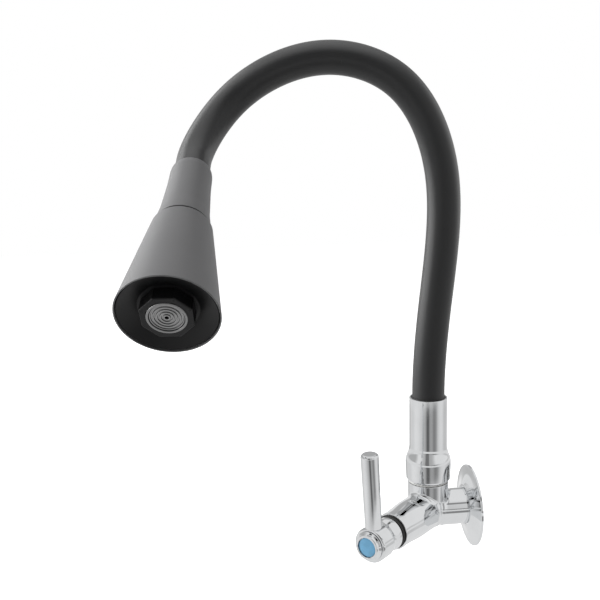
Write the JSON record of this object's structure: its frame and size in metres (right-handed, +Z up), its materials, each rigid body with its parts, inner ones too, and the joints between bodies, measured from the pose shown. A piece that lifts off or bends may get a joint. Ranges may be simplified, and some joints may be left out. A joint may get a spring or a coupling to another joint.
{
  "type": "wall-mounted sink tap",
  "caption": "Wall-mounted single-lever sink tap with a self-supporting flexible gooseneck, a conical spray head and a round wall flange.",
  "frame": {"origin": "on the axis of the inlet, at its mouth, in the plane of the wall, where the wall flange's back ring lies", "axes": "+Z up, along the neck; +Y into the wall, along the inlet; +X to the right of someone facing the wall, the side the lever barrel turns to"},
  "size_m": [0.161, 0.2295, 0.3457],
  "materials": {
    "chrome": "mirror-bright chrome plate",
    "brass": "turned brass",
    "steel": "plain steel",
    "sleeve": "satin dark grey silicone",
    "head_grey": "fine satin moulding",
    "face_black": "near-black, satin",
    "seal": "black rubber",
    "ceramic": "lapped ceramic",
    "white_plastic": "moulded white plastic",
    "water_hose": "smooth food-grade hose",
    "insert_grey": "grey moulded rings",
    "index_blue": "glossy blue"
  },
  "bodies": {
    "tap_body": {"body_casting": "chrome", "seat_washer": "seal", "valve_bonnet": "brass", "fixed_ceramic_disc": "ceramic", "barrel_mouth_ring": "seal", "swivel_bearing_ring": "white_plastic", "swivel_nipple": "brass", "swivel_o_ring_1": "seal", "swivel_o_ring_2": "seal", "collar_clip": "steel"},
    "flange": {"wall_flange": "chrome"},
    "lever": {"turning_ceramic_disc": "ceramic", "valve_spindle": "brass", "spindle_o_ring_1": "seal", "spindle_o_ring_2": "seal", "handle_hub": "chrome", "lever_pin": "chrome", "handle_screw": "steel", "index_cap": "chrome", "index_disc": "index_blue"},
    "spout": {"swivel_collar": "chrome", "collar_seal_ring": "seal", "hose_root_fitting": "brass", "gooseneck_core_root": "steel", "hose_sleeve_lower": "sleeve", "water_hose_lower": "water_hose"},
    "hose_low": {"gooseneck_core_low": "steel", "hose_sleeve_crown": "sleeve", "water_hose_crown": "water_hose"},
    "hose_crown": {"gooseneck_core_crown": "steel", "hose_sleeve_upper": "sleeve", "water_hose_upper": "water_hose"},
    "hose_tip": {"gooseneck_core_tip": "steel", "hose_tip_fitting": "brass", "head_cap": "head_grey", "head_stem": "brass", "stem_o_ring_1": "seal", "stem_o_ring_2": "seal", "stem_nut": "brass"},
    "head": {"head_shell": "head_grey", "water_guide": "white_plastic", "spray_face": "face_black", "aerator_nut": "face_black", "aerator_seal": "seal", "aerator_housing": "chrome", "aerator_insert": "insert_grey"}
  },
  "joints": [
    {"name": "flange_slide", "type": "slide", "parent": "tap_body", "child": "flange", "axis": [0, -1, 0], "range_m": [0, 0.01]},
    {"name": "lever_turn", "type": "hinge", "parent": "tap_body", "child": "lever", "pos_m": [0.04455, -0.07555, 0], "axis": [0.7071, -0.7071, 0], "range_deg": [0, 90]},
    {"name": "spout_swivel", "type": "hinge", "parent": "tap_body", "child": "spout", "pos_m": [0, -0.031, 0.02], "axis": [0, 0, 1], "continuous": true},
    {"name": "hose_bend_low", "type": "hinge", "parent": "spout", "child": "hose_low", "pos_m": [0.00103, -0.02496, 0.15992], "axis": [0.9856, -0.169, 0], "range_deg": [-25, 25], "deforming": ["hose_sleeve_lower", "water_hose_lower"]},
    {"name": "hose_bend_crown", "type": "hinge", "parent": "hose_low", "child": "hose_crown", "pos_m": [-0.00126, -0.03828, 0.27663], "axis": [0.9856, -0.169, 0], "range_deg": [-25, 25], "deforming": ["hose_sleeve_crown", "water_hose_crown"]},
    {"name": "hose_bend_tip", "type": "hinge", "parent": "hose_crown", "child": "hose_tip", "pos_m": [-0.01978, -0.14164, 0.2932], "axis": [0.4163, -0.5459, 0.7271], "range_deg": [-25, 25], "deforming": ["hose_sleeve_upper", "water_hose_upper"]},
    {"name": "head_turn", "type": "hinge", "parent": "hose_tip", "child": "head", "pos_m": [0.05489, -0.19225, 0.20541], "axis": [0.8152, -0.13, -0.5644], "continuous": true}
  ]
}
